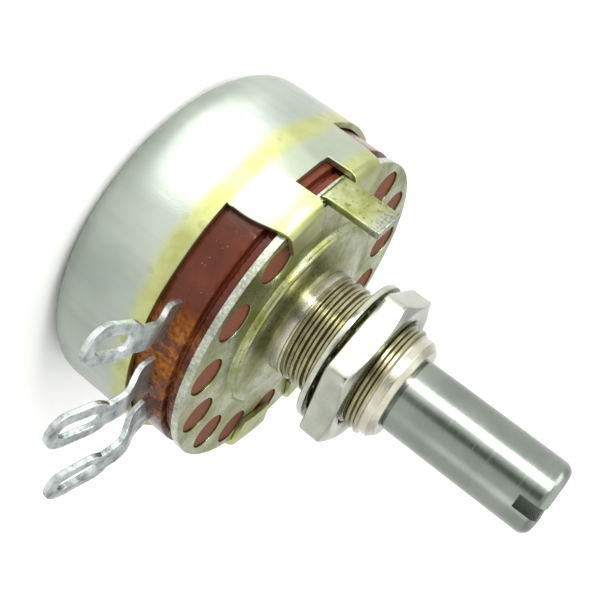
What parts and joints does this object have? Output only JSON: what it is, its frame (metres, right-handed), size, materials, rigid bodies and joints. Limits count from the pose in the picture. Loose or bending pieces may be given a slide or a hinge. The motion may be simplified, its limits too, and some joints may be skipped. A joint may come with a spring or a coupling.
{
  "type": "rotary potentiometer",
  "caption": "Panel-mount rotary potentiometer with a steel can, phenolic base, solder lugs and a slotted shaft in a threaded bushing.",
  "frame": {"origin": "centre of the can's flat back face, on the shaft axis", "axes": "+Z along the shaft, from the can's back face to the slotted end; the middle terminal points along -Y"},
  "size_m": [0.028, 0.0363, 0.0351],
  "materials": {
    "can_steel": "zinc plated drawn steel, thin yellow-green passivation near its cut edge",
    "plate_steel": "yellow-green passivated zinc plated sheet steel",
    "bushing_metal": "dull nickel plated brass, turned thread",
    "phenolic": "moulded brown phenolic, rough fibrous patches at the terminals",
    "carbon_track": "moulded carbon composition",
    "collector_metal": "silvered brass",
    "terminal_metal": "dull hot tinned brass",
    "shaft_steel": "turned bright steel",
    "clip_steel": "plain spring steel",
    "thrust_brass": "plain brass sheet",
    "rotor_phenolic": "machined phenolic laminate",
    "spring_bronze": "phosphor bronze strip",
    "rivet_brass": "plain brass",
    "brush_carbon": "carbon composition block",
    "washer_nickel": "nickel plated spring steel",
    "nut_nickel": "satin nickel plated brass"
  },
  "bodies": {
    "housing": {"can": "can_steel", "front_plate": "plate_steel", "bushing": "bushing_metal", "base": "phenolic", "resistance_track": "carbon_track", "collector_ring": "collector_metal", "terminal_left": "terminal_metal", "terminal_middle": "terminal_metal", "terminal_right": "terminal_metal"},
    "shaft_assembly": {"shaft": "shaft_steel", "shaft_clip": "clip_steel", "thrust_washer": "thrust_brass", "rotor": "rotor_phenolic", "contact_spring": "spring_bronze", "spring_rivets": "rivet_brass", "track_brush": "brush_carbon", "collector_brush": "brush_carbon"},
    "washer_body": {"lock_washer": "washer_nickel"},
    "nut_body": {"panel_nut": "nut_nickel"}
  },
  "joints": [
    {"name": "shaft_turn", "type": "hinge", "parent": "housing", "child": "shaft_assembly", "pos_m": [0, 0, 0], "axis": [0, 0, 1], "range_deg": [-135, 135]},
    {"name": "nut_travel", "type": "slide", "parent": "housing", "child": "washer_body", "axis": [0, 0, 1], "range_m": [-0.00337, 0.003]},
    {"name": "nut_turn", "type": "hinge", "parent": "washer_body", "child": "nut_body", "pos_m": [0, 0, 0], "axis": [0, 0, 1], "range_deg": [-1621, 1441]}
  ],
  "couplings": [
    {"joint": "nut_turn", "follows": "nut_travel", "rad_per_m": 8377.6}
  ]
}
